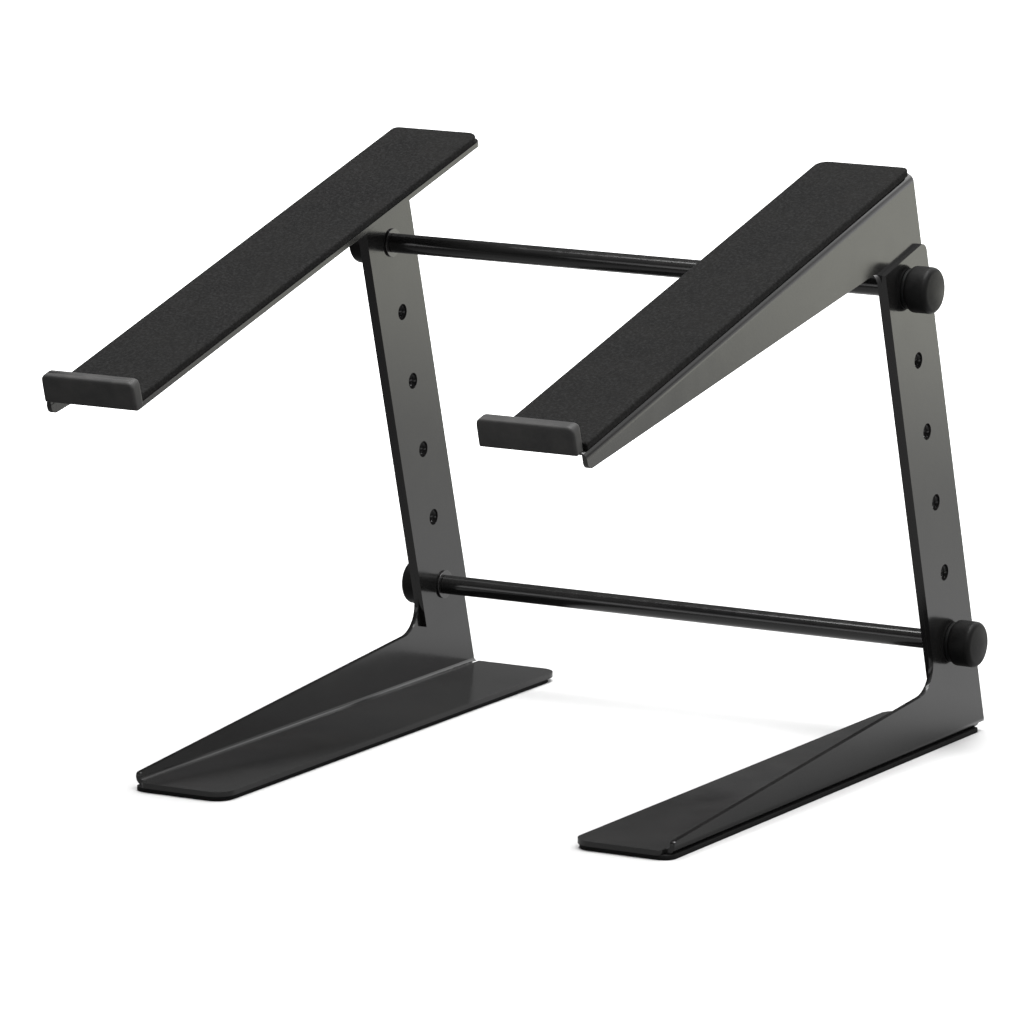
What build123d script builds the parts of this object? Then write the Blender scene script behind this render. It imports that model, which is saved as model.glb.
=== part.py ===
from build123d import *
from math import cos, radians, sin
import os

# Height-adjustable two-arm stand: two folded base brackets and two folded arm brackets,
# joined by two crossbars that are clamped by four thumb knobs.
# Millimetres. X runs across the stand, -Y is the front, +Z is up, the floor is Z = 0.

# ---- driving dimensions -------------------------------------------------------------
stand_width = 290.0        # over the outer faces of the two base brackets
sheet = 2.5                # steel sheet of all four brackets
bend_inside = 1.5          # inside radius of every fold
bend_outside = bend_inside + sheet
lean_deg = 15.0            # the legs lean forward by this angle, the trays rise by it

stand_length = 393.4       # from the rubber caps of the lips to the back of the feet

leg_width = 42.5
hole_pitch = 37.1          # height steps along the leg
hole_count = 6
hole_diameter = 8.0
base_leg_margin = 15.6     # from the top hole to the top end of a base leg
arm_leg_margin = 13.8      # from the lowest hole to the bottom end of an arm's leg
leg_corner = 5.0           # back corner of a base leg's top end
lower_hole_z = 50.0

foot_width = 52.0
foot_front = 280.5         # in front of the lowest bolt hole
foot_back = 34.0           # behind the lowest bolt hole
foot_web_front_z = 7.9     # height of the web's top edge at the toe
foot_web_leg_z = 32.0      # height of the same edge under the lowest bolt hole
foot_fillet = 14.0         # where the foot's web runs up into the leg
foot_corner = 9.5          # inner corners of the foot plate, in plan
foot_outer_corner = 2.5    # its outer front corner
toe_corner = 1.8
foot_relief_width = 5.0    # notches at both ends of the foot's fold, from the outer face
foot_relief_length = 5.3   # the back notch, which leaves the web whole
foot_toe_length = 4.6      # the front notch, which ends fold and web behind the plate's edge
foot_pad_thickness = 2.2
foot_pad_back_inset = 4.0
foot_pad_side_inset = 0.8
foot_pad_outer_inset = 0.2
foot_pad_toe_corner = 6.0    # outer corners of the pad, front and back
foot_pad_heel_corner = 3.5

tray_rise = 50.0           # tray's top face above the top bolt hole, along the leg
tray_front = 303.3         # front face of the tray's lip, in front of the bolt hole line
tray_web_front = 8.4       # depth of the arm's web at its front end
tray_web_leg = 33.8        # depth of the arm's web at the bolt hole line
arm_fillet = 8.0           # where the arm's web runs down into its leg
arm_web_setback = 2.3      # front end of the arm's web, behind the lip's front face
arm_toe_corner = 4.0
tray_corner = 5.5
lip_height = 11.4          # above the tray's top face
lip_relief_width = 5.3     # from the arm's outer face to the end of the lip
lip_relief_length = 4.5

pad_thickness = 3.4
pad_side_inset = 0.4
pad_outer_inset = 0.8
pad_back_inset = 1.0
pad_back_corner = 6.0
pad_outer_corner = 3.5
pad_front_gap = 0.4
pad_edge = 0.6

cap_wall = 2.2
cap_end_wall = 3.0
cap_gap = 0.05             # all round between the rubber cap and the steel lip
cap_lift = 1.6             # the cap's back wall stays clear of the lip's inside bend
cap_corner = 3.2
cap_edge = 0.9

bar_diameter = 9.5
bar_washer_diameter = 14.0
bar_washer_thickness = 1.0
bar_chamfer = 0.3
thread_depth = 24.0        # tapped bore at each end of a crossbar

stud_diameter = 6.0
stud_reach = 20.0          # stud length that stands out of the knob
stud_embed = 9.0           # stud length moulded into the knob
stud_tip = 0.8
thread_clearance = 0.05    # radial, stud in its tapped bore
washer_clearance = 0.2     # radial, stud in a bar washer
seat_gap = 0.05            # between knob, knob washer and leg

knob_washer_diameter = 19.4
knob_washer_thickness = 1.5
knob_washer_edge = 0.4
knob_diameter = 22.2
knob_length = 12.4
knob_base_diameter = 19.6
knob_base_flare = 1.6
knob_flare_start = (0.35, 1)  # direction of the flare at the knob's base
knob_rim = 2.6             # rounding between the knob's side and its face
knob_dome = 0.7            # how far the knob's face is crowned

# ---- derived places -----------------------------------------------------------------
lean = radians(lean_deg)
leg_up = (0, -sin(lean), cos(lean))
arm_back = (0, cos(lean), sin(lean))
leg_axis = Axis((0, 0, 0), leg_up)
arm_axis = Axis((0, 0, 0), arm_back)

outer_x = stand_width / 2
arm_outer_x = outer_x - sheet
arm_inner_face_x = arm_outer_x - sheet
inner_edge_x = outer_x - foot_width
arm_width = foot_width - sheet

lower_hole_y = stand_length / 2 - foot_back
half_leg = leg_width / 2
top_hole = (hole_count - 1) * hole_pitch
base_leg_top = top_hole + base_leg_margin
tray_top = top_hole + tray_rise
plate_z = foot_pad_thickness
plate_top_z = plate_z + sheet
foot_front_y = lower_hole_y - foot_front
foot_back_y = lower_hole_y + foot_back
lip_end_x = arm_outer_x - lip_relief_width


def leg_point(across, along):
    """Y and Z of a point given across the leg (+ is back) and along it from the lowest hole."""
    y = lower_hole_y + across * cos(lean) - along * sin(lean)
    z = lower_hole_z + across * sin(lean) + along * cos(lean)
    return y, z


def leg_plane(x):
    """Side plane at x: local X runs back across the leg, local Y runs up along it."""
    return Plane(origin=(x, lower_hole_y, lower_hole_z), x_dir=arm_back, z_dir=(1, 0, 0))


def tray_section(across):
    """Plane across the tray at a distance behind the hole line, facing forward."""
    y, z = leg_point(across, 0)
    forward = (0, -cos(lean), -sin(lean))
    return Plane(origin=(0, y, z), x_dir=(1, 0, 0), z_dir=forward)


def tray_plane(height):
    """Plane parallel to the tray, a height above its top face: local Y runs back."""
    y, z = leg_point(0, tray_top + height)
    return Plane(origin=(0, y, z), x_dir=(1, 0, 0), z_dir=leg_up)


def corner(sketch, point):
    """The sketch's vertex nearest to a point of its own plane."""
    return sketch.vertices().sort_by_distance(point)[0]


def finish(part, name):
    """Label one finished piece and write it."""
    part.label = name
    export_step(part, f"parts/{name}.step")


os.makedirs("parts", exist_ok=True)

hole_places = [(0, step * hole_pitch) for step in range(hole_count)]

# ---- base bracket: foot plate, tapered web and leg, folded from one sheet -------------
web_slope = (foot_web_leg_z - foot_web_front_z) / foot_front
# where the web's sloping top edge would meet the leg's front edge
root_rise = foot_web_leg_z - lower_hole_z + half_leg * (sin(lean) - web_slope * cos(lean))
leg_root = leg_point(-half_leg, root_rise / (cos(lean) + web_slope * sin(lean)))
leg_top_back = leg_point(half_leg, base_leg_top)
toe_y = foot_front_y + foot_toe_length
toe_z = foot_web_front_z + web_slope * foot_toe_length
relief_x = outer_x - foot_relief_width

with BuildPart() as base_bracket:
    with BuildSketch(Plane.YZ.offset(inner_edge_x)) as base_outline:
        with BuildLine():
            Polyline(
                (foot_front_y, plate_z),
                (foot_front_y, foot_web_front_z),
                leg_root,
                leg_point(-half_leg, base_leg_top),
                leg_top_back,
                (foot_back_y, plate_top_z),
                (foot_back_y, plate_z),
                close=True,
            )
        make_face()
        fillet(corner(base_outline, leg_root), foot_fillet)
        fillet(corner(base_outline, leg_top_back), leg_corner)
    extrude(amount=foot_width)
    # hollow it out to the thickness of the sheet, above the plate and inboard of the web
    with BuildSketch(Plane.XZ.offset(-foot_back_y - 1)) as base_hollow:
        with BuildLine():
            Polyline(
                (inner_edge_x - 1, plate_top_z),
                (arm_outer_x, plate_top_z),
                (arm_outer_x, leg_top_back[1] + 1),
                (inner_edge_x - 1, leg_top_back[1] + 1),
                close=True,
            )
        make_face()
        fillet(corner(base_hollow, (arm_outer_x, plate_top_z)), bend_inside)
    extrude(amount=stand_length + 2, mode=Mode.SUBTRACT)
    fillet(edges().filter_by(Axis.Y).group_by(Axis.Z)[0].sort_by(Axis.X)[-1], bend_outside)
    fillet(edges().filter_by(Axis.Z).group_by(Axis.X)[0], foot_corner)
    # notch at the back end of the fold
    with BuildSketch(Plane.XY):
        with BuildLine():
            Polyline(
                (relief_x, foot_back_y - foot_relief_length),
                (outer_x + 1, foot_back_y - foot_relief_length),
                (outer_x + 1, foot_back_y + 1),
                (relief_x, foot_back_y + 1),
                close=True,
            )
        make_face()
    extrude(amount=plate_top_z, mode=Mode.SUBTRACT)
    # notch at the front end of the fold, right through the web
    with BuildSketch(Plane.XY):
        with BuildLine():
            Polyline(
                (relief_x, toe_y),
                (outer_x + 1, toe_y),
                (outer_x + 1, foot_front_y - 1),
                (relief_x, foot_front_y - 1),
                close=True,
            )
        make_face()
    extrude(amount=foot_web_leg_z, mode=Mode.SUBTRACT)
    toe_top = (outer_x, toe_y, toe_z)
    fillet(edges().filter_by(Axis.X).sort_by_distance(toe_top)[0], toe_corner)
    plate_corner = (relief_x, foot_front_y, plate_z)
    fillet(edges().filter_by(Axis.Z).sort_by_distance(plate_corner)[0], foot_outer_corner)
    with Locations(leg_plane(outer_x)):
        with Locations(*hole_places):
            Hole(radius=hole_diameter / 2, depth=sheet)

# ---- arm bracket: tray plate, tapered web, leg and front lip, folded from one sheet ----
web_taper = (tray_web_leg - tray_web_front) / tray_front
web_at_leg = tray_top - tray_web_leg + web_taper * half_leg
arm_root = (-half_leg, web_at_leg)
web_front = -tray_front + arm_web_setback
web_front_low = tray_top - tray_web_front
arm_front_low = (-tray_front, web_front_low)
arm_top_back = (half_leg, tray_top)
plate_bottom = tray_top - sheet
lip_top = tray_top + lip_height
lip_inner = -tray_front + sheet

with BuildPart() as arm_bracket:
    with BuildSketch(leg_plane(inner_edge_x)) as arm_outline:
        with BuildLine():
            Polyline(
                (-tray_front, tray_top),
                arm_top_back,
                (half_leg, -arm_leg_margin),
                (-half_leg, -arm_leg_margin),
                arm_root,
                arm_front_low,
                close=True,
            )
        make_face()
        fillet(corner(arm_outline, arm_root), arm_fillet)
    extrude(amount=arm_width)
    with BuildSketch(tray_section(half_leg + 1)) as arm_hollow:
        with BuildLine():
            Polyline(
                (inner_edge_x - 1, plate_bottom),
                (arm_inner_face_x, plate_bottom),
                (arm_inner_face_x, -arm_leg_margin - 1),
                (inner_edge_x - 1, -arm_leg_margin - 1),
                close=True,
            )
        make_face()
        fillet(corner(arm_hollow, (arm_inner_face_x, plate_bottom)), bend_inside)
    extrude(amount=stand_length, mode=Mode.SUBTRACT)
    # lip, turned up from the plate's front end
    with BuildSketch(leg_plane(inner_edge_x)) as lip_outline:
        with BuildLine():
            Polyline(
                (-tray_front, plate_bottom),
                (-tray_front, lip_top),
                (lip_inner, lip_top),
                (lip_inner, tray_top),
                (lip_inner + sheet, tray_top),
                (lip_inner + sheet, plate_bottom),
                close=True,
            )
        make_face()
        fillet(corner(lip_outline, (lip_inner, tray_top)), bend_inside)
    extrude(amount=lip_end_x - inner_edge_x)
    # slot between the lip and the web, so that both folds can be made
    with BuildSketch(leg_plane(lip_end_x)):
        with BuildLine():
            Polyline(
                (-tray_front - 1, plate_bottom - 1),
                (-tray_front + lip_relief_length, plate_bottom - 1),
                (-tray_front + lip_relief_length, tray_top + 1),
                (-tray_front - 1, tray_top + 1),
                close=True,
            )
        make_face()
    extrude(amount=arm_inner_face_x - lip_end_x, mode=Mode.SUBTRACT)
    fold_edges = edges().filter_by(arm_axis).group_by(Axis.X)[-1]
    fillet(fold_edges.sort_by(leg_axis)[-1], bend_outside)
    lip_foot = (inner_edge_x, *leg_point(-tray_front, plate_bottom))
    fillet(edges().filter_by(Axis.X).sort_by_distance(lip_foot)[0], bend_outside)
    tray_back = (inner_edge_x, *leg_point(half_leg, plate_bottom))
    fillet(edges().filter_by(leg_axis).sort_by_distance(tray_back)[0], tray_corner)
    # the web ends a little behind the lip, with a rounded lower corner
    with BuildSketch(leg_plane(lip_end_x)):
        with BuildLine():
            Polyline(
                (-tray_front - 1, web_front_low - 1),
                (web_front, web_front_low - 1),
                (web_front, tray_top + 1),
                (-tray_front - 1, tray_top + 1),
                close=True,
            )
        make_face()
    extrude(amount=arm_outer_x - lip_end_x, mode=Mode.SUBTRACT)
    arm_toe = (arm_outer_x, *leg_point(web_front, web_front_low))
    fillet(edges().filter_by(Axis.X).sort_by_distance(arm_toe)[0], arm_toe_corner)
    with Locations(leg_plane(arm_outer_x)):
        with Locations(*hole_places):
            Hole(radius=hole_diameter / 2, depth=sheet)

# ---- soft parts: foam on the tray, rubber cap on the lip, rubber under the foot --------
cap_front = -tray_front - cap_gap - cap_wall
cap_back = lip_inner + cap_gap + cap_wall
cap_top = lip_height + cap_gap + cap_wall
cap_inner_x = inner_edge_x - cap_end_wall
cap_outer_x = lip_end_x + cap_end_wall
pocket_inner_x = inner_edge_x - cap_gap
pocket_outer_x = lip_end_x + cap_gap

with BuildPart() as arm_pad:
    with BuildSketch(tray_plane(0)) as pad_outline:
        with BuildLine():
            pad_front_y = cap_back + pad_front_gap
            pad_back_y = half_leg - pad_back_inset
            pad_inner_x = inner_edge_x + pad_side_inset
            pad_outer_x = arm_outer_x - pad_outer_inset
            Polyline(
                (pad_inner_x, pad_front_y),
                (pad_outer_x, pad_front_y),
                (pad_outer_x, pad_back_y),
                (pad_inner_x, pad_back_y),
                close=True,
            )
        make_face()
        fillet(corner(pad_outline, (pad_inner_x, pad_back_y)), pad_back_corner)
        fillet(corner(pad_outline, (pad_outer_x, pad_back_y)), pad_outer_corner)
    extrude(amount=pad_thickness)
    fillet(faces().sort_by(leg_axis)[-1].edges(), pad_edge)

with BuildPart() as lip_cap:
    with BuildSketch(tray_plane(cap_gap)):
        with BuildLine():
            Polyline(
                (cap_inner_x, cap_front),
                (cap_outer_x, cap_front),
                (cap_outer_x, cap_back),
                (cap_inner_x, cap_back),
                close=True,
            )
        make_face()
    extrude(amount=cap_top - cap_gap)
    fillet(edges().filter_by(arm_axis).group_by(leg_axis)[-1], cap_corner)
    along_tray = faces().sort_by(arm_axis)
    fillet(along_tray[0].edges() + along_tray[-1].edges(), cap_edge)
    # pocket for the steel lip, and a step that clears the lip's inside bend
    with BuildSketch(tray_plane(0)):
        with BuildLine():
            Polyline(
                (pocket_inner_x, -tray_front - cap_gap),
                (pocket_outer_x, -tray_front - cap_gap),
                (pocket_outer_x, lip_inner + cap_gap),
                (pocket_inner_x, lip_inner + cap_gap),
                close=True,
            )
        make_face()
    extrude(amount=lip_height + cap_gap, mode=Mode.SUBTRACT)
    with BuildSketch(tray_plane(0)):
        with BuildLine():
            Polyline(
                (pocket_inner_x, lip_inner),
                (pocket_outer_x, lip_inner),
                (pocket_outer_x, cap_back + 1),
                (pocket_inner_x, cap_back + 1),
                close=True,
            )
        make_face()
    extrude(amount=cap_lift, mode=Mode.SUBTRACT)

with BuildPart() as foot_pad:
    with BuildSketch(Plane.XY) as foot_outline:
        with BuildLine():
            foot_pad_inner_x = inner_edge_x + foot_pad_side_inset
            foot_pad_outer_x = outer_x - foot_pad_outer_inset
            foot_pad_front_y = foot_front_y + foot_pad_side_inset
            foot_pad_back_y = foot_back_y - foot_pad_back_inset
            Polyline(
                (foot_pad_inner_x, foot_pad_front_y),
                (foot_pad_outer_x, foot_pad_front_y),
                (foot_pad_outer_x, foot_pad_back_y),
                (foot_pad_inner_x, foot_pad_back_y),
                close=True,
            )
        make_face()
        by_side = foot_outline.vertices().group_by(Axis.X)
        fillet(by_side[0], foot_corner - foot_pad_side_inset)
        fillet(corner(foot_outline, (foot_pad_outer_x, foot_pad_front_y)), foot_pad_toe_corner)
        fillet(corner(foot_outline, (foot_pad_outer_x, foot_pad_back_y)), foot_pad_heel_corner)
    extrude(amount=foot_pad_thickness)

right_pieces = {
    "base_bracket": base_bracket.part,
    "arm_bracket": arm_bracket.part,
    "arm_pad": arm_pad.part,
    "lip_cap": lip_cap.part,
    "foot_pad": foot_pad.part,
}

# ---- crossbar and clamping hardware, modelled about the X axis ------------------------
bar_end_x = arm_inner_face_x - bar_washer_thickness
washer_x = outer_x + seat_gap
knob_x = washer_x + knob_washer_thickness + seat_gap
stud_radius = stud_diameter / 2

with BuildPart() as crossbar:
    with BuildSketch(Plane.YZ.offset(-bar_end_x)):
        Circle(bar_diameter / 2)
    extrude(amount=2 * bar_end_x)
    chamfer(edges(), bar_chamfer)
    with BuildSketch(Plane.YZ.offset(bar_end_x - thread_depth)):
        Circle(stud_radius + thread_clearance)
    extrude(amount=thread_depth, mode=Mode.SUBTRACT)
    with BuildSketch(Plane.YZ.offset(-bar_end_x)):
        Circle(stud_radius + thread_clearance)
    extrude(amount=thread_depth, mode=Mode.SUBTRACT)

with BuildPart() as bar_washer:
    with BuildSketch(Plane.YZ.offset(bar_end_x)):
        Circle(bar_washer_diameter / 2)
        Circle(stud_radius + washer_clearance, mode=Mode.SUBTRACT)
    extrude(amount=bar_washer_thickness)

with BuildPart() as knob_washer:
    with BuildSketch(Plane.YZ.offset(washer_x)):
        Circle(knob_washer_diameter / 2)
        Circle(stud_radius + thread_clearance, mode=Mode.SUBTRACT)
    extrude(amount=knob_washer_thickness)
    fillet(edges().group_by(SortBy.LENGTH)[-1], knob_washer_edge)

with BuildPart() as stud:
    with BuildSketch(Plane.YZ.offset(knob_x - stud_reach)):
        Circle(stud_radius)
    extrude(amount=stud_reach + stud_embed)
    chamfer(edges().sort_by(Axis.X)[0], stud_tip)

base_radius = knob_base_diameter / 2
grip_radius = knob_diameter / 2
face_radius = grip_radius - knob_rim
knob_face_x = knob_x + knob_length
knob_tip = (knob_face_x + knob_dome, 0)
dome_radius = (face_radius**2 + knob_dome**2) / (2 * knob_dome)

with BuildPart() as knob:
    with BuildSketch(Plane.XZ):
        with BuildLine():
            Polyline(knob_tip, (knob_x, 0), (knob_x, base_radius))
            flare_end = (knob_x + knob_base_flare, grip_radius)
            Spline((knob_x, base_radius), flare_end, tangents=(knob_flare_start, (1, 0)))
            rim_start = (knob_face_x - knob_rim, grip_radius)
            Line(flare_end, rim_start)
            RadiusArc(rim_start, (knob_face_x, face_radius), knob_rim)
            RadiusArc((knob_face_x, face_radius), knob_tip, dome_radius)
        make_face()
    revolve(axis=Axis.X)
    with BuildSketch(Plane.YZ.offset(knob_x)):
        Circle(stud_radius)
    extrude(amount=stud_embed, mode=Mode.SUBTRACT)

hardware = {
    "bar_washer": bar_washer.part,
    "knob_washer": knob_washer.part,
    "stud": stud.part,
    "knob": knob.part,
}

# the same hardware clamps both ends of both crossbars
for level, step in (("upper", hole_count - 1), ("lower", 0)):
    bolt_place = Location((0, *leg_point(0, step * hole_pitch)))
    with BuildPart() as placed_bar:
        with Locations(bolt_place):
            add(crossbar.part)
    finish(placed_bar.part, f"{level}_crossbar")
    for name, piece in hardware.items():
        with BuildPart() as placed_piece:
            with Locations(bolt_place):
                add(piece)
        right_pieces[f"{level}_{name}"] = placed_piece.part

# ---- every right-hand piece, and its mirror image on the left -------------------------
for name, piece in right_pieces.items():
    finish(piece, f"{name}_right")
    with BuildPart() as left_piece:
        mirror(piece, about=Plane.YZ)
    finish(left_piece.part, f"{name}_left")
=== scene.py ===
import math

import bmesh
import bpy
from mathutils import Matrix, Quaternion, Vector, noise


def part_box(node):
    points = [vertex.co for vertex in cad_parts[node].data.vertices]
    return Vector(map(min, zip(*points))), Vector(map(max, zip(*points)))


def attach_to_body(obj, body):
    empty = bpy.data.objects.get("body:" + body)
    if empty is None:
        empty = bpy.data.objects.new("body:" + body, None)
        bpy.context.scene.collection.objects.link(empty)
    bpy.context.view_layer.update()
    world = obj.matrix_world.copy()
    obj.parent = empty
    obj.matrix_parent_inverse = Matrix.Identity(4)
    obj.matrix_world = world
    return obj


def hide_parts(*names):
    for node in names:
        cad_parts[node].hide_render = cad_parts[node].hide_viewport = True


# Looks of the two-arm stand, in metres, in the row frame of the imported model.

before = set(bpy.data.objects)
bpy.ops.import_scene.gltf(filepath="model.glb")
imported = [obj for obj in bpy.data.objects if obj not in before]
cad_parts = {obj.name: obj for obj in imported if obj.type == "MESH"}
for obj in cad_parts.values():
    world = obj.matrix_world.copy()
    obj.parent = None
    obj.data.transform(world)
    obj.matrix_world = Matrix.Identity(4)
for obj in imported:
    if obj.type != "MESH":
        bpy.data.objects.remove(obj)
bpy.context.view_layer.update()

MM = 0.001
LEAN = math.radians(15.0)
ARM_BACK = Vector((0, math.cos(LEAN), math.sin(LEAN)))
ARM_UP = Vector((0, -math.sin(LEAN), math.cos(LEAN)))
CORNER_STEPS = 8
SIDES = {"left": -1.0, "right": 1.0}
LEVELS = ("upper", "lower")

# radiance of the studio as the parts reflect it
ROOM = 0.09
CEILING = 1.3
BACK_GLOW = 0.7
FRONT_BOX = 0.9
BACK_BOX = 1.2
# the floor's, by distance behind the stand's middle, with factors by distance to the right of it and, far
# behind, by place across the strips that the right side's faces mirror
FLOOR = (
    (-0.6, 0.55), (0.0, 0.46), (0.12, 0.56), (0.2, 0.88), (0.26, 1.08),
    (0.72, 1.02), (0.85, 1.18), (1.0, 1.45), (1.15, 1.7), (1.3, 1.9),
)
FLOOR_ACROSS = ((-0.45, 0.2), (-0.08, 1.0))
FLOOR_STREAK = ((-0.5, 1.3), (-0.4, 0.97), (-0.27, 0.73), (-0.18, 0.74), (-0.12, 0.95), (-0.08, 1.0))
STRIP_SLOPE = 1.68
BOUNCE_SHARE = 0.4
OVERHEAD_WATTS = 75

CAMERA_AZIMUTH = math.radians(30.2525)
CAMERA_ELEVATION = math.radians(11.0)
CAMERA_ROLL = math.radians(-0.202)
CAMERA_PLACE = (1.8221, -3.1337, 0.8322)
CAMERA_LENS = 275.69


# ---- node materials ------------------------------------------------------------------------------
class Nodes:
    """The node tree of a new material, or of the world, built from short calls."""

    def __init__(self, name, world=False):
        library = bpy.data.worlds if world else bpy.data.materials
        self.owner = library.new(name)
        self.owner.use_nodes = True
        self.tree = self.owner.node_tree
        self.tree.nodes.clear()
        self.output = self.add("ShaderNodeOutputWorld" if world else "ShaderNodeOutputMaterial")
        self.place = self.add("ShaderNodeTexCoord").outputs["Generated" if world else "Object"]

    def add(self, kind, inputs=None, **settings):
        node = self.tree.nodes.new(kind)
        for key, value in settings.items():
            setattr(node, key, value)
        for key, value in (inputs or {}).items():
            self.feed(node.inputs[key], value)
        return node

    def feed(self, socket, value):
        if isinstance(value, bpy.types.NodeSocket):
            self.tree.links.new(value, socket)
        else:
            socket.default_value = value

    def noise(self, scale, detail=2.0, roughness=0.5, stretch=None):
        """Noise in object space; scale is in cycles per metre."""
        place = self.place
        if stretch:
            place = self.add("ShaderNodeMapping", {"Vector": place, "Scale": stretch}).outputs[0]
        node = self.add(
            "ShaderNodeTexNoise",
            {"Vector": place, "Scale": scale, "Detail": detail, "Roughness": roughness},
        )
        return node.outputs["Fac"]

    def cells(self, scale, feature="F1"):
        node = self.add("ShaderNodeTexVoronoi", {"Vector": self.place, "Scale": scale}, feature=feature)
        return node.outputs["Distance"]

    def remap(self, value, low, high, to_low, to_high):
        node = self.add(
            "ShaderNodeMapRange",
            {"Value": value, "From Min": low, "From Max": high, "To Min": to_low, "To Max": to_high},
        )
        return node.outputs["Result"]

    def curve(self, value, stops):
        """Straight pieces through (value, result) stops."""
        low, high = stops[0][0], stops[-1][0]
        node = self.add("ShaderNodeValToRGB", {0: self.remap(value, low, high, 0.0, 1.0)})
        points = node.color_ramp.elements
        while len(points) < len(stops):
            points.new(0.5)
        for point, (at, result) in zip(points, stops):
            point.position = (at - low) / (high - low)
            point.color = grey(result)
        return node.outputs["Color"]

    def math(self, operation, a, b=0.0):
        return self.add("ShaderNodeMath", {0: a, 1: b}, operation=operation).outputs[0]

    def mix(self, factor, a, b):
        node = self.add("ShaderNodeMix", data_type="RGBA")
        self.feed(node.inputs[0], factor)
        self.feed(node.inputs[6], a)
        self.feed(node.inputs[7], b)
        return node.outputs[2]

    def bump(self, height, distance, strength=1.0, under=None):
        inputs = {"Height": height, "Distance": distance, "Strength": strength}
        if under is not None:
            inputs["Normal"] = under
        return self.add("ShaderNodeBump", inputs).outputs["Normal"]

    def edge(self, radius):
        """Near 0 on flat faces and towards 1 on edges that stand out."""
        soft = self.add("ShaderNodeBevel", {"Radius": radius}, samples=4).outputs["Normal"]
        true = self.add("ShaderNodeNewGeometry").outputs["Normal"]
        dot = self.add("ShaderNodeVectorMath", {0: soft, 1: true}, operation="DOT_PRODUCT")
        return self.remap(dot.outputs["Value"], 1.0, 0.75, 0.0, 1.0)

    def done(self, shader):
        self.tree.links.new(shader, self.output.inputs["Surface"])
        return self.owner

    def surface(self, inputs):
        return self.done(self.add("ShaderNodeBsdfPrincipled", inputs).outputs[0])

    def for_camera(self, seen, others):
        """One shader for what the camera sees directly and another for light and reflections."""
        path = self.add("ShaderNodeLightPath")
        mix = self.add("ShaderNodeMixShader", {0: path.outputs["Is Camera Ray"], 1: others, 2: seen})
        return self.done(mix.outputs[0])


def grey(value, tint=(1.0, 1.0, 1.0)):
    return (value * tint[0], value * tint[1], value * tint[2], 1.0)


def powder_coat():
    """Smooth black powder coat: faint orange peel, cloudy gloss and dust, and paler edges, a painted
    highlight partly from thinner paint.
    """
    n = Nodes("powder_coat")
    cloud = n.noise(22, 4, 0.6)
    speck = n.noise(2600, 2, 0.5)
    cool, warm = grey(0.009, (1.0, 1.0, 1.02)), grey(0.012, (1.03, 1.0, 0.97))
    base = n.mix(n.remap(cloud, 0.35, 0.65, 0.0, 1.0), cool, warm)
    base = n.mix(n.remap(speck, 0.58, 0.72, 0.0, 0.5), base, grey(0.022))
    # paler edges: a painted highlight along the sheet edges, partly thinner paint
    base = n.mix(n.math("MULTIPLY", n.edge(0.5 * MM), 0.4), base, grey(0.025))
    gloss = n.remap(n.math("ADD", n.noise(70, 3), n.math("MULTIPLY", cloud, 0.6)), 0.55, 1.05, 0.13, 0.2)
    peel = n.bump(n.noise(620, 1.5, 0.45), 0.00002, 0.55)
    peel = n.bump(speck, 0.000006, 0.4, peel)
    return n.surface({
        "Base Color": base,
        "Roughness": gloss,
        "IOR": 1.5,
        "Normal": peel,
    })


def gloss_paint():
    """Glossy black enamel on the round bars, with long faint drag marks."""
    n = Nodes("gloss_paint")
    drag = n.noise(160, 3, 0.55, (0.06, 1.0, 1.0))
    base = n.mix(n.remap(drag, 0.4, 0.7, 0.0, 1.0), grey(0.010), grey(0.016, (1.02, 1.0, 0.98)))
    # paler edges: a painted highlight along the bar's edges
    base = n.mix(n.math("MULTIPLY", n.edge(0.3 * MM), 0.6), base, grey(0.08))
    rough = n.remap(n.noise(240, 3), 0.3, 0.7, 0.13, 0.22)
    return n.surface({
        "Base Color": base,
        "Roughness": rough,
        "IOR": 1.5,
        "Normal": n.bump(drag, 0.00003, 0.35),
        "Coat Weight": 0.3,
        "Coat Roughness": 0.08,
    })


def foam():
    """Closed-cell foam sheet: open pores of two sizes with painted shade in the larger ones, pale dust in
    them and a soft sheen.
    """
    n = Nodes("foam")
    pores = n.cells(1500)
    fine = n.cells(3400)
    cloud = n.noise(30, 4, 0.6)
    dust = n.noise(800, 2, 0.5)
    plain, warm = grey(0.0052), grey(0.0075, (1.04, 1.0, 0.95))
    base = n.mix(n.remap(cloud, 0.35, 0.65, 0.0, 1.0), plain, warm)
    # darker pore centres: painted shade in the pores
    base = n.mix(n.remap(pores, 0.05, 0.3, 0.8, 0.0), base, grey(0.003))
    base = n.mix(n.remap(dust, 0.42, 0.7, 0.0, 0.8), base, grey(0.021))
    small = n.math("MULTIPLY", n.remap(fine, 0.0, 0.4, 0.0, 1.0), 0.5)
    height = n.math("ADD", n.remap(pores, 0.0, 0.4, 0.0, 1.0), small)
    normal = n.bump(height, 0.00018, 0.6)
    normal = n.bump(n.noise(420, 3, 0.6), 0.0003, 0.5, normal)
    return n.surface({
        "Base Color": base,
        "Roughness": n.remap(dust, 0.3, 0.7, 0.78, 0.95),
        "Specular IOR Level": 0.06,
        "Normal": normal,
        "Sheen Weight": 0.04,
        "Sheen Roughness": 0.5,
        "Sheen Tint": grey(0.6),
    })


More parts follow.
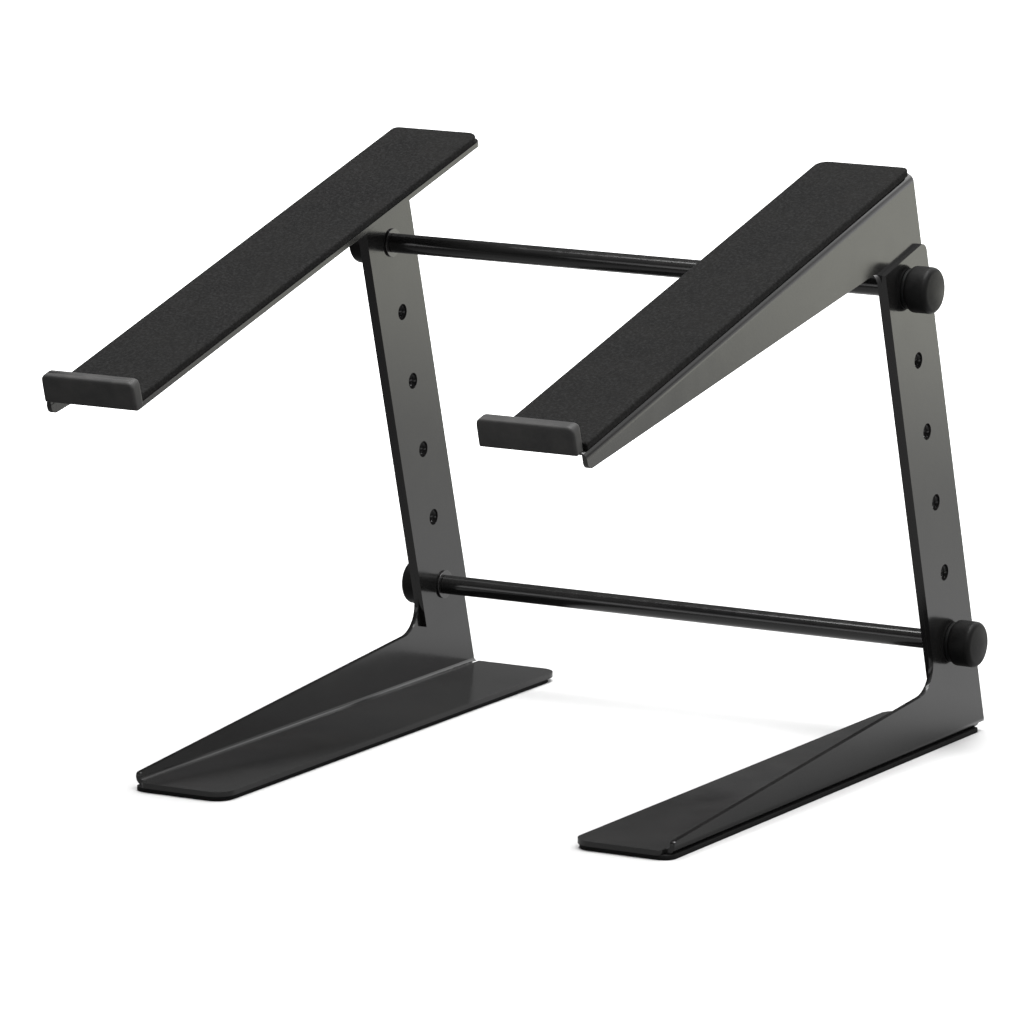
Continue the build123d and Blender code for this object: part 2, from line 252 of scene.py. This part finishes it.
def rubber(name, value, rough_low, rough_high, shine, grain, depth):
    """Moulded rubber: a fine grain, cloudy bloom on the surface and paler edges, a painted highlight with
    some wear.
    """
    n = Nodes(name)
    bloom = n.noise(90, 5, 0.65)
    fine = n.noise(grain, 3, 0.6)
    base = n.mix(n.remap(bloom, 0.35, 0.7, 0.0, 1.0), grey(value), grey(value * 1.3, (1.02, 1.0, 0.98)))
    base = n.mix(n.remap(fine, 0.6, 0.75, 0.0, 0.35), base, grey(value * 1.8))
    # paler edges: a painted highlight along the edges, partly wear
    base = n.mix(n.math("MULTIPLY", n.edge(0.6 * MM), 0.5), base, grey(value * 1.8))
    return n.surface({
        "Base Color": base,
        "Roughness": n.remap(bloom, 0.3, 0.7, rough_low, rough_high),
        "Specular IOR Level": shine,
        "Normal": n.bump(fine, depth, 0.5),
    })


def knob_plastic():
    """Moulded black plastic with a spark-eroded grain and handled, shinier patches."""
    n = Nodes("knob_plastic")
    grain = n.cells(3000)
    handled = n.noise(130, 3, 0.5)
    matt, worn = grey(0.007, (1.02, 1.0, 1.0)), grey(0.011, (1.02, 1.0, 0.99))
    base = n.mix(n.remap(handled, 0.35, 0.7, 0.0, 1.0), matt, worn)
    # paler edges: a painted highlight along the knob's rims
    base = n.mix(n.math("MULTIPLY", n.edge(0.4 * MM), 0.4), base, grey(0.03))
    normal = n.bump(n.remap(grain, 0.0, 0.45, 0.0, 1.0), 0.00004, 0.45)
    return n.surface({
        "Base Color": base,
        "Roughness": n.remap(handled, 0.3, 0.7, 0.36, 0.5),
        "Specular IOR Level": 0.11,
        "Normal": normal,
    })


def nylon():
    """Black nylon washer with turned rings and a waxy surface."""
    n = Nodes("nylon")
    cloud = n.noise(300, 4, 0.6)
    ring = n.noise(1500, 2, 0.5, (1.0, 0.12, 0.12))
    base = n.mix(n.remap(cloud, 0.35, 0.7, 0.0, 1.0), grey(0.007), grey(0.012))
    # paler edges: a painted highlight along the washer's rims
    base = n.mix(n.math("MULTIPLY", n.edge(0.3 * MM), 0.3), base, grey(0.02))
    return n.surface({
        "Base Color": base,
        "Roughness": n.remap(cloud, 0.3, 0.7, 0.4, 0.55),
        "Specular IOR Level": 0.15,
        "Normal": n.bump(ring, 0.00003, 0.4),
        "Subsurface Weight": 0.02,
    })


def zinc():
    """Bright zinc plate on the studs: stained thread roots and fine rolling marks."""
    n = Nodes("zinc")
    stain = n.noise(420, 4, 0.65)
    mark = n.noise(2200, 2, 0.5, (0.1, 1.0, 1.0))
    base = n.mix(n.remap(stain, 0.35, 0.7, 0.0, 1.0), (0.56, 0.56, 0.55, 1.0), (0.66, 0.64, 0.58, 1.0))
    base = n.mix(n.remap(mark, 0.58, 0.7, 0.0, 0.5), base, (0.3, 0.29, 0.27, 1.0))
    return n.surface({
        "Base Color": base,
        "Metallic": 1.0,
        "Roughness": n.remap(stain, 0.3, 0.7, 0.24, 0.42),
        "Normal": n.bump(mark, 0.00002, 0.5),
    })


COAT = powder_coat()
ENAMEL = gloss_paint()
FOAM = foam()
CAP_RUBBER = rubber("cap_rubber", 0.054, 0.3, 0.42, 0.07, 1900, 0.00003)
FOOT_RUBBER = rubber("foot_rubber", 0.008, 0.6, 0.8, 0.15, 1500, 0.00006)
KNOB = knob_plastic()
NYLON = nylon()
ZINC = zinc()


# ---- mesh helpers --------------------------------------------------------------------------------
def make_object(name, bm, material, smooth_angle=30.0):
    """A closed mesh object with outward faces, smooth except over edges sharper than the angle."""
    bmesh.ops.recalc_face_normals(bm, faces=bm.faces)
    mesh = bpy.data.meshes.new(name)
    bm.to_mesh(mesh)
    bm.free()
    mesh.materials.append(material)
    mesh.polygons.foreach_set("use_smooth", [True] * len(mesh.polygons))
    mesh.set_sharp_from_angle(angle=math.radians(smooth_angle))
    obj = bpy.data.objects.new(name, mesh)
    bpy.context.scene.collection.objects.link(obj)
    return obj


def dress(node, material, bevel=0.0, segments=2):
    """Gives a CAD node its material and, with modifiers only, painted-over rounded edges."""
    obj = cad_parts[node]
    obj.data.materials.clear()
    obj.data.materials.append(material)
    if bevel:
        weld = obj.modifiers.new("weld", "WELD")
        weld.merge_threshold = 1e-6
        flat = obj.modifiers.new("flat", "DECIMATE")
        flat.decimate_type = "DISSOLVE"
        flat.angle_limit = math.radians(0.5)
        edge = obj.modifiers.new("edge", "BEVEL")
        edge.width = bevel
        edge.segments = segments
        edge.limit_method = "ANGLE"
        edge.angle_limit = math.radians(40)
        edge.harden_normals = True
        edge.use_clamp_overlap = True
    return obj


def apply_modifiers(obj):
    """Puts the modifiers' result into the object's own mesh."""
    graph = bpy.context.evaluated_depsgraph_get()
    mesh = bpy.data.meshes.new_from_object(obj.evaluated_get(graph), depsgraph=graph)
    obj.modifiers.clear()
    obj.data = mesh


def attach(obj, body, node):
    """Puts a piece on its body, in place of a CAD node, which it hides."""
    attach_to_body(obj, body)
    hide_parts(node)
    return obj


def ring_points(low, high, radii, step):
    """Points round a box's plan, anticlockwise, with a radius at each corner from (high x, low y) on."""
    x0, y0, x1, y1 = low.x, low.y, high.x, high.y
    centres = ((x1, y0, -90, 1, -1), (x1, y1, 0, 1, 1), (x0, y1, 90, -1, 1), (x0, y0, 180, -1, -1))
    points = []
    for (x, y, start, sx, sy), radius in zip(centres, radii):
        cx, cy = x - sx * radius, y - sy * radius
        for i in range(CORNER_STEPS + 1):
            angle = math.radians(start + 90 * i / CORNER_STEPS)
            points.append(Vector((cx + radius * math.cos(angle), cy + radius * math.sin(angle))))
    filled = []
    for a, b in zip(points, points[1:] + points[:1]):
        count = max(1, round((b - a).length / step))
        filled += [a.lerp(b, i / count) for i in range(count)]
    return filled


def inset_ring(points, amount):
    """The same ring moved inwards by an amount, point by point."""
    moved = []
    for before, here, after in zip(points[-1:] + points[:-1], points, points[1:] + points[:1]):
        along = (after - before).normalized()
        moved.append(here + Vector((-along.y, along.x)) * amount)
    return moved


def loft(bm, rings):
    """Quads between rings of the same length; returns the rings' vertices."""
    made = [[bm.verts.new(p) for p in ring] for ring in rings]
    for low, high in zip(made, made[1:]):
        for i in range(len(low)):
            j = (i + 1) % len(low)
            bm.faces.new((low[i], low[j], high[j], high[i]))
    return made


def lathe(bm, profile, steps, shape=None):
    """Revolves (along, radius) points about the local X axis; shape may move each point."""
    rings = []
    for along, radius in profile:
        ring = []
        for i in range(steps):
            angle = 2 * math.pi * i / steps
            r, x = shape(along, radius, angle) if shape else (radius, along)
            ring.append(Vector((x, r * math.cos(angle), r * math.sin(angle))))
        rings.append(ring)
    made = loft(bm, rings)
    bm.faces.new(made[0])
    bm.faces.new(list(reversed(made[-1])))
    return made


def arm_place(node):
    """Matrix from tray axes (X across, Y up the slope, Z off the tray) to the row frame, and the node's
    box in those axes."""
    turn = Matrix((Vector((1, 0, 0)), ARM_BACK, ARM_UP)).transposed()
    coords = [turn.transposed() @ v.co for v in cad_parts[node].data.vertices]
    low = Vector(min(c[i] for c in coords) for i in range(3))
    high = Vector(max(c[i] for c in coords) for i in range(3))
    return turn.to_4x4(), low, high


# ---- steel brackets, bars and washers keep their CAD shape ---------------------------------------
for side in SIDES:
    dress(f"base_bracket_{side}", COAT, 0.4 * MM, 3)
    dress(f"arm_bracket_{side}", COAT, 0.4 * MM, 3)
for level in LEVELS:
    dress(f"{level}_crossbar", ENAMEL)
    for side in SIDES:
        dress(f"{level}_bar_washer_{side}", ENAMEL, 0.15 * MM)
        dress(f"{level}_knob_washer_{side}", NYLON)


# ---- foam strips on the trays --------------------------------------------------------------------
def foam_pad(side, sign):
    node = f"arm_pad_{side}"
    place, low, high = arm_place(node)
    front, inner_back, outer_back = 0.5 * MM, 6.0 * MM, 3.5 * MM
    back = (outer_back, inner_back) if sign > 0 else (inner_back, outer_back)
    radii = (front, *back, front)
    outline = ring_points(low, high, radii, 2.2 * MM)
    base, top = low.z, high.z
    # (inset, height) of the edge in mm, drawn for a sheet of drawn_thickness
    drawn_thickness, face_inset = 3.0, 1.1
    profile = (
        (0.25, 0.0), (0.02, 0.15), (0.0, 0.8), (0.05, 1.7),
        (0.0, 2.25), (0.16, 2.68), (0.5, 2.92), (face_inset, drawn_thickness),
    )
    scale = (top - base) / (drawn_thickness * MM)
    rings = []
    for inset, height in profile:
        ring = inset_ring(outline, inset * MM)
        rings.append([Vector((p.x, p.y, base + height * MM * scale)) for p in ring])
    inner = inset_ring(outline, face_inset * MM)
    middle = (low.x + high.x) / 2
    half = (high.x - low.x) / 2
    for share in (0.08, 0.18, 0.3, 0.42, 0.54, 0.66, 0.78, 0.9):
        ring = []
        for p in inner:
            spine = Vector((middle, min(max(p.y, low.y + half), high.y - half)))
            q = p.lerp(spine, share)
            at = Vector((q.x, q.y, sign))
            rise = 0.05 * noise.noise(at * 55) + 0.035 * noise.noise(at * 260)
            ring.append(Vector((q.x, q.y, top + (rise - 0.06) * MM)))
        rings.append(ring)
    bm = bmesh.new()
    made = loft(bm, rings)
    bm.faces.new(list(reversed(made[0])))
    bmesh.ops.triangulate(bm, faces=[bm.faces.new(made[-1])])
    bm.transform(place)
    obj = make_object(f"foam_strip_{side}", bm, FOAM, 50)
    return attach(obj, "stand", node)


# ---- rubber caps over the front lips -------------------------------------------------------------
def lip_boot(side, sign):
    node = f"lip_cap_{side}"
    place, low, high = arm_place(node)
    width, height = high.x - low.x, high.z - low.z
    cx, cy = (low.x + high.x) / 2, (low.y + high.y) / 2
    # rings run round the cap in plan, from the open underside up over the crown; in mm, for a cap of
    # drawn_height
    drawn_height = 13.6
    profile = (
        (0.35, 0.0), (0.08, 0.15), (0.0, 0.5),
        (0.0, 0.35 * drawn_height), (0.03, 0.62 * drawn_height), (0.05, 0.8 * drawn_height),
        (0.1, 12.5), (0.28, 13.05), (0.65, 13.42), (1.2, drawn_height),
    )
    scale = height / (drawn_height * MM)
    rings = []
    outline = ring_points(low, high, (1.5 * MM,) * 4, 1.2 * MM)
    end_round = 3.2 * MM
    for inset, rise in profile:
        ring = []
        for p in inset_ring(outline, inset * MM):
            z = low.z + rise * MM * scale
            # the crown drops away in a quarter round at both ends
            reach = abs(p.x - cx) - (width / 2 - end_round)
            if reach > 0:
                drop = end_round - math.sqrt(max(end_round ** 2 - min(reach, end_round) ** 2, 0.0))
                z -= drop * max(0.0, (z - low.z) / height) ** 2
            wave = 0.06 * MM * noise.noise(Vector((p.x * 45, rise, sign)))
            ring.append(Vector((p.x, p.y + wave, z + wave)))
        rings.append(ring)
    bm = bmesh.new()
    made = loft(bm, rings)
    # crown and floor
    crown = [v.co.copy() for v in made[-1]]
    inner = [Vector((c.x * 0.995 + cx * 0.005, cy + (c.y - cy) * 0.35, c.z + 0.05 * MM)) for c in crown]
    seam = [bm.verts.new(p) for p in inner]
    for i in range(len(seam)):
        j = (i + 1) % len(seam)
        bm.faces.new((made[-1][i], made[-1][j], seam[j], seam[i]))
    bmesh.ops.triangulate(bm, faces=[bm.faces.new(seam)])
    bmesh.ops.triangulate(bm, faces=[bm.faces.new(list(reversed(made[0])))])
    bm.transform(place)
    outer = make_object(f"lip_boot_{side}", bm, CAP_RUBBER, 60)

    # pocket the steel lip stands in, open below and low down at the back
    wall, end_wall, lift = 2.2 * MM, 3.0 * MM, 1.6 * MM
    front, back, beyond = low.y + wall, high.y - wall, high.y + MM
    under, step, roof = low.z - MM, low.z + lift, high.z - wall
    outline = (
        (front, under), (beyond, under), (beyond, step), (back, step), (back, roof), (front, roof),
    )
    cut = bmesh.new()
    ends = [[cut.verts.new((x, y, z)) for y, z in outline] for x in (low.x + end_wall, high.x - end_wall)]
    cut.faces.new(ends[0])
    cut.faces.new(list(reversed(ends[1])))
    for i in range(len(outline)):
        j = (i + 1) % len(outline)
        cut.faces.new((ends[0][i], ends[1][i], ends[1][j], ends[0][j]))
    cut.transform(place)
    pocket = make_object(f"pocket_{side}", cut, CAP_RUBBER)
    hollow = outer.modifiers.new("pocket", "BOOLEAN")
    hollow.operation = "DIFFERENCE"
    hollow.solver = "EXACT"
    hollow.object = pocket
    apply_modifiers(outer)
    bpy.data.objects.remove(pocket)
    return attach(outer, "stand", node)


# ---- rubber sheets under the feet ----------------------------------------------------------------
def foot_sheet(side, sign):
    node = f"foot_pad_{side}"
    low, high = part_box(node)
    inner, toe, heel = 8.7 * MM, 6.0 * MM, 3.5 * MM
    radii = (toe, heel, inner, inner) if sign > 0 else (inner, inner, heel, toe)
    outline = ring_points(low, high, radii, 3.0 * MM)
    thick = (high.z - low.z) / MM
    profile = (
        (0.35, 0.0), (0.1, 0.12), (0.0, 0.4), (0.06, 0.5 * thick),
        (0.0, thick - 0.35), (0.05, thick - 0.08), (0.3, thick),
    )
    rings = []
    for inset, height in profile:
        rings.append([Vector((p.x, p.y, low.z + height * MM)) for p in inset_ring(outline, inset * MM)])
    bm = bmesh.new()
    made = loft(bm, rings)
    bm.faces.new(list(reversed(made[0])))
    bm.faces.new(made[-1])
    obj = make_object(f"foot_sheet_{side}", bm, FOOT_RUBBER, 60)
    return attach(obj, "stand", node)


# ---- clamp knobs and their threaded studs --------------------------------------------------------
def axis_place(node, sign):
    """Matrix from local axes (X outwards along the bolt, from its axis) to the row frame."""
    low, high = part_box(node)
    turn = Matrix.Identity(4) if sign > 0 else Matrix.Rotation(math.pi, 4, "Z")
    return Matrix.Translation(Vector((0, (low.y + high.y) / 2, (low.z + high.z) / 2))) @ turn


def span(node, sign):
    """Where a node starts and ends along its bolt, outwards from the stand's middle."""
    low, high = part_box(node)
    return (low.x, high.x) if sign > 0 else (-high.x, -low.x)


def clamp_knob(level, side, sign):
    node = f"{level}_knob_{side}"
    start, end = span(node, sign)
    start, end = start / MM, end / MM
    bore, grip, rim, flat, dome = 3.0, 11.1, 2.6, 8.5, 0.7
    face = end - dome
    # (along, radius) in mm: the blind bore, the flared base, the grip, the rim's round and the domed face
    profile = [
        (start + 9.0, bore), (start + 0.2, bore), (start, 3.25), (start, 9.2), (start + 0.12, 9.62),
        (start + 0.45, 10.05), (start + 0.9, 10.55), (start + 1.35, 10.9), (start + 1.9, 11.06),
        (start + 2.6, grip), (start + 6.15, grip), (start + 6.3, grip), (start + 6.45, grip),
        (face - 3.1, grip), (face - rim, 11.08),
    ]
    for i in range(1, 9):
        angle = math.radians(90 * i / 8)
        profile.append((face - rim + rim * math.sin(angle), flat + rim * math.cos(angle)))
    for i in range(1, 8):
        radius = flat * (1 - i / 8)
        profile.append((face + dome * (1 - (radius / flat) ** 2), radius))
    profile.append((end, 0.25))
    profile = [(x * MM, r * MM) for x, r in profile]
    bm = bmesh.new()
    lathe(bm, profile, 96)
    bm.transform(axis_place(node, sign))
    obj = make_object(f"{level}_grip_{side}", bm, KNOB, 50)
    return attach(obj, f"{level}_clamp_knob_{side}", node)


def clamp_stud(level, side, sign):
    """A right-hand M6 thread, 1 mm pitch, with a chamfered tip and a run-out at the knob."""
    node = f"{level}_stud_{side}"
    start, end = span(node, sign)
    crest, root, pitch = 3.0 * MM, 2.42 * MM, 1.0 * MM
    knob_start = span(f"{level}_knob_{side}", sign)[0]
    steps, rows_per_turn = 40, 10

    def thread(along, radius, angle):
        phase = (along / pitch - angle / (2 * math.pi)) % 1.0
        ridge = min(phase, 1 - phase) * 2
        depth = min(max((ridge - 0.12) / 0.72, 0.0), 1.0)
        r = crest - (crest - root) * depth
        fade = min(max((along - (knob_start - 1.2 * MM)) / (1.0 * MM), 0.0), 1.0)
        r = r + (crest - r) * fade
        return min(r, radius), along

    profile = []
    x = start
    while x < knob_start + 0.2 * MM:
        tip = min(crest, root - 0.25 * MM + (x - start))
        profile.append((x, tip))
        x += pitch / rows_per_turn
    profile.append((end, crest))
    bm = bmesh.new()
    lathe(bm, profile, steps, thread)
    bm.transform(axis_place(node, sign))
    obj = make_object(f"{level}_screw_{side}", bm, ZINC, 35)
    return attach(obj, f"{level}_clamp_knob_{side}", node)


for side, sign in SIDES.items():
    foam_pad(side, sign)
    lip_boot(side, sign)
    foot_sheet(side, sign)
    for level in LEVELS:
        clamp_knob(level, side, sign)
        clamp_stud(level, side, sign)


# ---- floor, light and camera ---------------------------------------------------------------------
def floor_material():
    """Matt white studio floor; for light and reflections it glows, bright behind the stand and dark in
    front of it, with painted contact shade close to the stand's parts.
    """
    n = Nodes("studio_floor")
    grain = n.noise(900, 3, 0.6)
    base = n.mix(n.remap(n.noise(3, 2), 0.3, 0.7, 0.0, 1.0), grey(0.67), grey(0.69))
    split = n.add("ShaderNodeSeparateXYZ", {0: n.place})
    reach = n.add("ShaderNodeVectorMath", {0: n.place}, operation="LENGTH").outputs["Value"]
    seen = n.add("ShaderNodeBsdfPrincipled", {
        "Base Color": base,
        "Roughness": n.remap(grain, 0.3, 0.7, 0.85, 0.95),
        "Specular IOR Level": 0.1,
        "Normal": n.bump(grain, 0.00003, 0.2),
        "Emission Color": grey(1.0),
        "Emission Strength": n.remap(reach, 0.25, 0.9, 0.0, 1.0),
    })
    across, behind = split.outputs["X"], split.outputs["Y"]
    glow = n.math("MULTIPLY", n.curve(behind, FLOOR), n.curve(across, FLOOR_ACROSS))
    strip = n.math("ADD", behind, n.math("MULTIPLY", across, -STRIP_SLOPE))
    streak = n.mix(n.remap(behind, 0.4, 0.9, 0.0, 1.0), grey(1.0), n.curve(strip, FLOOR_STREAK))
    glow = n.math("MULTIPLY", glow, streak)
    bounced = n.add("ShaderNodeLightPath").outputs["Is Diffuse Ray"]
    glow = n.math("MULTIPLY", glow, n.remap(bounced, 0, 1, 1.0, BOUNCE_SHARE))
    # painted contact shade: the floor's glow is darkened close to the stand's parts
    near = n.add("ShaderNodeAmbientOcclusion", {"Distance": 0.05}, samples=4).outputs["AO"]
    others = n.add("ShaderNodeEmission", {
        "Color": n.mix(n.remap(behind, 0.4, 1.3, 0.0, 1.0), grey(1.0), grey(1.0, (1.0, 1.0, 0.9))),
        "Strength": n.math("MULTIPLY", glow, n.remap(near, 0.35, 0.95, 0.1, 1.0)),
    })
    return n.for_camera(seen.outputs[0], others.outputs[0])


def make_floor():
    bm = bmesh.new()
    bmesh.ops.create_grid(bm, x_segments=24, y_segments=24, size=9.0)
    mesh = bpy.data.meshes.new("floor")
    bm.to_mesh(mesh)
    bm.free()
    mesh.materials.append(floor_material())
    obj = bpy.data.objects.new("floor", mesh)
    bpy.context.scene.collection.objects.link(obj)


def area_light(name, place, target, size, power):
    data = bpy.data.lights.new(name, "AREA")
    data.shape = "RECTANGLE"
    data.size, data.size_y = size
    data.energy = power
    obj = bpy.data.objects.new(name, data)
    obj.location = place
    obj.rotation_euler = (Vector(target) - Vector(place)).to_track_quat("-Z", "Y").to_euler()
    bpy.context.scene.collection.objects.link(obj)
    return obj


def make_world():
    """Pure white behind the object for the camera; for light and reflections a dark studio with a bright
    ceiling, a glow low behind the right side and a softbox low in front of the left."""
    n = Nodes("studio", world=True)
    split = n.add("ShaderNodeSeparateXYZ", {0: n.place})
    across, height = split.outputs["X"], split.outputs["Z"]

    def glow(direction, inner, outer, strength):
        near = n.add(
            "ShaderNodeVectorMath", {0: n.place, 1: Vector(direction).normalized()}, operation="DOT_PRODUCT"
        ).outputs["Value"]
        return n.remap(near, math.cos(math.radians(outer)), math.cos(math.radians(inner)), 0.0, strength)

    overhead = n.remap(height, 0.36, 0.62, ROOM, CEILING)
    ceiling = n.math("MULTIPLY", overhead, n.remap(across, -0.45, -0.1, 0.08, 1.0))
    room = n.math("ADD", ceiling, glow((0.5, 0.85, -0.1), 15, 55, BACK_GLOW))
    room = n.math("ADD", room, glow((-0.5, -0.84, 0.16), 5, 13, FRONT_BOX))
    room = n.math("ADD", room, glow((-0.05, 0.87, 0.49), 8, 22, BACK_BOX))
    room = n.math("ADD", room, n.remap(height, 0.14, 0.25, 0.45, 0.0))
    seen = n.add("ShaderNodeBackground", {"Color": grey(1.0), "Strength": 1.05})
    others = n.add("ShaderNodeBackground", {"Color": grey(1.0), "Strength": room})
    bpy.context.scene.world = n.for_camera(seen.outputs[0], others.outputs[0])


def make_camera():
    back = Vector((
        math.sin(CAMERA_AZIMUTH) * math.cos(CAMERA_ELEVATION),
        -math.cos(CAMERA_AZIMUTH) * math.cos(CAMERA_ELEVATION),
        math.sin(CAMERA_ELEVATION),
    ))
    data = bpy.data.cameras.new("camera")
    data.lens = CAMERA_LENS
    data.sensor_width = 36.0
    data.clip_start, data.clip_end = 0.1, 100.0
    obj = bpy.data.objects.new("camera", data)
    obj.rotation_mode = "QUATERNION"
    obj.location = CAMERA_PLACE
    obj.rotation_quaternion = (-back).to_track_quat("-Z", "Y") @ Quaternion((0, 0, 1), CAMERA_ROLL)
    bpy.context.scene.collection.objects.link(obj)
    bpy.context.scene.camera = obj


make_floor()
make_world()
area_light("overhead", (0.05, 0.1, 2.2), (0, 0, 0), (1.8, 1.8), OVERHEAD_WATTS)
make_camera()
bpy.context.scene.view_settings.view_transform = "Standard"
